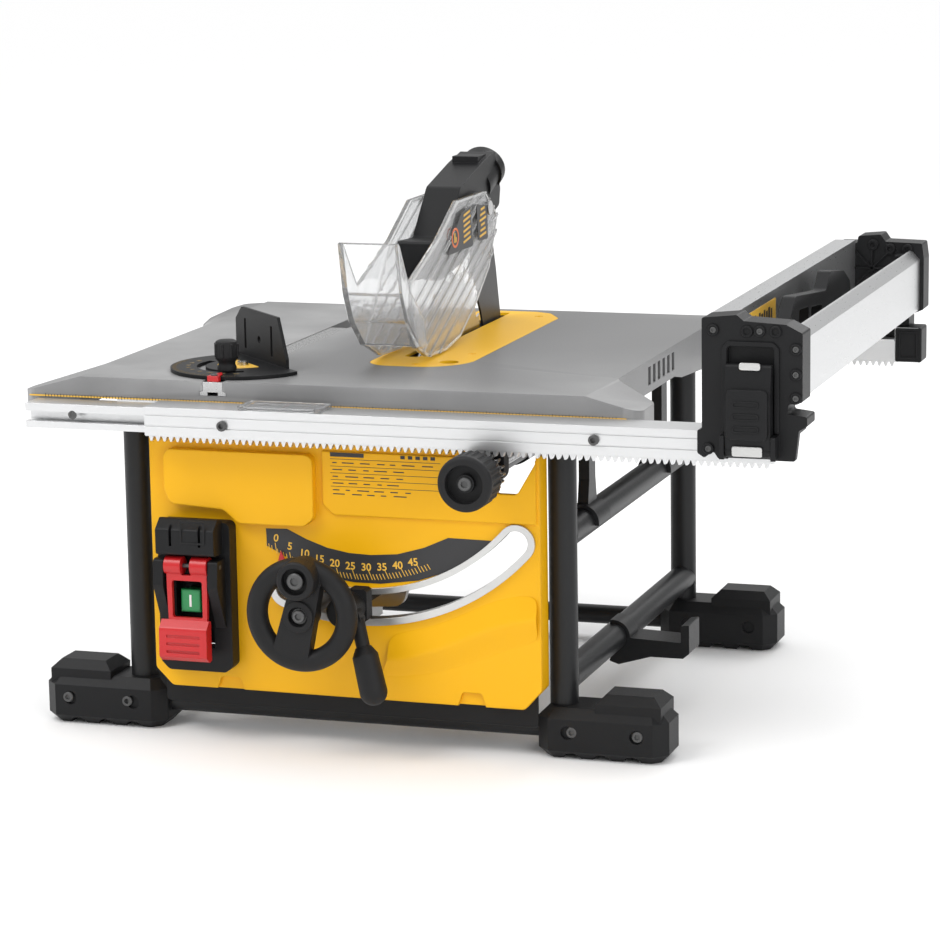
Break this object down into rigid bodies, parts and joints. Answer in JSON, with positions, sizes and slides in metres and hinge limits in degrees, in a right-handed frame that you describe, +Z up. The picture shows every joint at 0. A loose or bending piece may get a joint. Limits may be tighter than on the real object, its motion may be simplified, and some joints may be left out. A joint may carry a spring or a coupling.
{
  "type": "table saw",
  "caption": "Compact jobsite table saw: metal table on a tube frame, sliding rails that carry the rip fence, clear blade guard on a riving knife, miter gauge, front handwheel and paddle switch.",
  "frame": {"origin": "centre of the base of the saw, on the floor", "axes": "+X to the right of the person at the front, +Y away from them, +Z up"},
  "size_m": [0.739, 0.625, 0.503],
  "materials": {
    "tube": "satin black powder coat",
    "foot": "moulded, fine texture",
    "table": "smooth grey coating on an aluminium casting",
    "throat": "satin yellow powder coat",
    "rail": "clear anodised extrusion",
    "panel": "yellow, moulded, fine texture",
    "bare_steel": "zinc plated",
    "black_metal": "satin black",
    "black_plastic": "moulded",
    "red_plastic": "semi-gloss",
    "green_plastic": "semi-gloss",
    "accent": "moulded",
    "clear": "clear polycarbonate",
    "cast": "as cast",
    "fence": "clear anodised extrusion",
    "blade": "ground",
    "bearing": "ground"
  },
  "bodies": {
    "frame": {"upright_tubes": "tube", "frame_cross_members": "tube", "feet": "foot", "table_top": "table", "throat_plate": "throat", "front_fixed_rail": "rail", "rear_fixed_rail": "rail", "front_panel": "panel", "bevel_slot_rim": "bare_steel", "switch_housing": "black_plastic", "paddle_pin": "bare_steel", "storage_bracket": "black_metal", "saddle_brackets": "black_metal", "trunnion_brackets": "cast", "pinion_shaft_brackets": "black_metal"},
    "tilt_frame": {"front_tilt_plate": "cast", "rear_tilt_plate": "cast", "tilt_tie_bars": "bare_steel", "guide_rods": "bare_steel"},
    "lock_lever": {"bevel_lock_lever": "black_plastic"},
    "wheel": {"handwheel": "black_plastic", "handwheel_shaft": "bare_steel"},
    "grip": {"crank_grip": "black_plastic"},
    "screw": {"lift_screw": "bare_steel"},
    "carriage": {"lift_carriage": "cast", "blade_shroud": "black_plastic", "motor_housing": "black_plastic", "arbor_bearings": "bearing", "riving_knife": "black_metal", "guard_arm": "black_plastic"},
    "rotor": {"rotor_shaft": "bare_steel"},
    "arbor": {"arbor_shaft": "bare_steel", "saw_blade": "blade", "blade_flanges": "bare_steel", "arbor_nut": "bare_steel"},
    "guard_pin": {"guard_pivot_pin": "bare_steel"},
    "guard_bush": {"left_shield_bush": "black_plastic"},
    "left_shield": {"left_guard_shield": "clear"},
    "right_shield": {"right_guard_shield": "clear"},
    "rip_carrier": {"front_moving_rail": "rail", "rear_moving_rail": "rail", "fence_left_plate": "fence", "fence_right_plate": "fence", "fence_front_bracket": "black_plastic", "fence_rear_bracket": "black_plastic"},
    "front_latch_lever": {"front_latch": "black_plastic"},
    "rear_latch_lever": {"rear_latch": "black_plastic"},
    "rip_drive": {"rip_knob": "black_plastic", "pinion_shaft": "bare_steel"},
    "push_stick_body": {"push_stick": "accent"},
    "start": {"start_button": "green_plastic"},
    "stop": {"stop_paddle": "red_plastic"},
    "miter_slide_bar": {"miter_bar": "bare_steel"},
    "miter_protractor": {"miter_head": "black_metal"},
    "miter_clamp": {"miter_knob": "black_plastic"}
  },
  "joints": [
    {"name": "bevel_tilt", "type": "hinge", "parent": "frame", "child": "tilt_frame", "pos_m": [-0.0465, 0.0235, 0.33], "axis": [0, -1, 0], "range_deg": [0, 45]},
    {"name": "bevel_lock_turn", "type": "hinge", "parent": "tilt_frame", "child": "lock_lever", "pos_m": [-0.0495, -0.2265, 0.135], "axis": [0, -1, 0], "range_deg": [0, 60]},
    {"name": "carriage_lift", "type": "slide", "parent": "tilt_frame", "child": "carriage", "axis": [0, 0, 1], "range_m": [-0.065, 0]},
    {"name": "handwheel_turn", "type": "hinge", "parent": "tilt_frame", "child": "wheel", "pos_m": [-0.0802, -0.2265, 0.1353], "axis": [0, 1, 0], "range_deg": [-1465, 2]},
    {"name": "lift_screw_turn", "type": "hinge", "parent": "tilt_frame", "child": "screw", "pos_m": [-0.0802, -0.1345, 0.2], "axis": [0, 0, 1], "range_deg": [-1465, 2]},
    {"name": "crank_grip_spin", "type": "hinge", "parent": "wheel", "child": "grip", "pos_m": [-0.07715, -0.3065, 0.17017], "axis": [0, 1, 0], "continuous": true},
    {"name": "arbor_spin", "type": "hinge", "parent": "carriage", "child": "arbor", "pos_m": [-0.0505, 0.0515, 0.29], "axis": [1, 0, 0], "continuous": true},
    {"name": "rotor_spin", "type": "hinge", "parent": "carriage", "child": "rotor", "pos_m": [-0.1145, 0.0515, 0.2575], "axis": [1, 0, 0], "continuous": true},
    {"name": "guard_lift", "type": "hinge", "parent": "carriage", "child": "guard_pin", "pos_m": [-0.0545, 0.1135, 0.45], "axis": [-1, 0, 0], "range_deg": [-0.5, 35]},
    {"name": "left_bush_turn", "type": "hinge", "parent": "guard_pin", "child": "guard_bush", "pos_m": [-0.0785, 0.1135, 0.45], "axis": [-1, 0, 0], "range_deg": [-0.5, 16]},
    {"name": "left_shield_swing", "type": "hinge", "parent": "guard_bush", "child": "left_shield", "pos_m": [-0.0785, 0.1135, 0.45], "axis": [-1, 0, 0], "range_deg": [0, 40]},
    {"name": "right_shield_swing", "type": "hinge", "parent": "guard_pin", "child": "right_shield", "pos_m": [-0.0325, 0.1135, 0.45], "axis": [-1, 0, 0], "range_deg": [0, 40]},
    {"name": "rip_slide", "type": "slide", "parent": "frame", "child": "rip_carrier", "axis": [1, 0, 0], "range_m": [-0.115, 0.29]},
    {"name": "rip_knob_turn", "type": "hinge", "parent": "frame", "child": "rip_drive", "pos_m": [0.0815, -0.2265, 0.265], "axis": [0, 1, 0], "range_deg": [-367, 924]},
    {"name": "front_latch_turn", "type": "hinge", "parent": "rip_carrier", "child": "front_latch_lever", "pos_m": [0.3215, -0.2785, 0.299], "axis": [1, 0, 0], "range_deg": [0, 80]},
    {"name": "rear_latch_turn", "type": "hinge", "parent": "rip_carrier", "child": "rear_latch_lever", "pos_m": [0.3215, 0.3035, 0.299], "axis": [-1, 0, 0], "range_deg": [0, 80]},
    {"name": "push_stick_lift", "type": "slide", "parent": "rip_carrier", "child": "push_stick_body", "axis": [0, 0, 1], "range_m": [0, 0.08]},
    {"name": "start_button_press", "type": "slide", "parent": "frame", "child": "start", "axis": [0, 1, 0], "range_m": [0, 0.004], "stiffness_N_per_m": 900},
    {"name": "stop_paddle_press", "type": "hinge", "parent": "frame", "child": "stop", "pos_m": [-0.2005, -0.2505, 0.166], "axis": [1, 0, 0], "range_deg": [0, 5.5], "stiffness_Nm_per_rad": 3, "springref_deg": -2.86},
    {"name": "miter_slide", "type": "slide", "parent": "frame", "child": "miter_slide_bar", "axis": [0, -1, 0], "range_m": [-0.2, 0.15]},
    {"name": "miter_turn", "type": "hinge", "parent": "miter_slide_bar", "child": "miter_protractor", "pos_m": [-0.1815, -0.1525, 0.33], "axis": [0, 0, 1], "range_deg": [-15, 105]},
    {"name": "miter_knob_spin", "type": "hinge", "parent": "miter_slide_bar", "child": "miter_clamp", "pos_m": [-0.1815, -0.1905, 0.33], "axis": [0, 0, 1], "continuous": true}
  ],
  "couplings": [
    {"joint": "handwheel_turn", "follows": "carriage_lift", "rad_per_m": 392.7},
    {"joint": "lift_screw_turn", "follows": "carriage_lift", "rad_per_m": 392.7},
    {"joint": "rotor_spin", "follows": "arbor_spin", "ratio": -3.3333},
    {"joint": "guard_lift", "follows": "carriage_lift", "rad_per_m": -9},
    {"joint": "left_bush_turn", "follows": "bevel_tilt", "ratio": 0.34},
    {"joint": "rip_knob_turn", "follows": "rip_slide", "rad_per_m": 55.556}
  ]
}
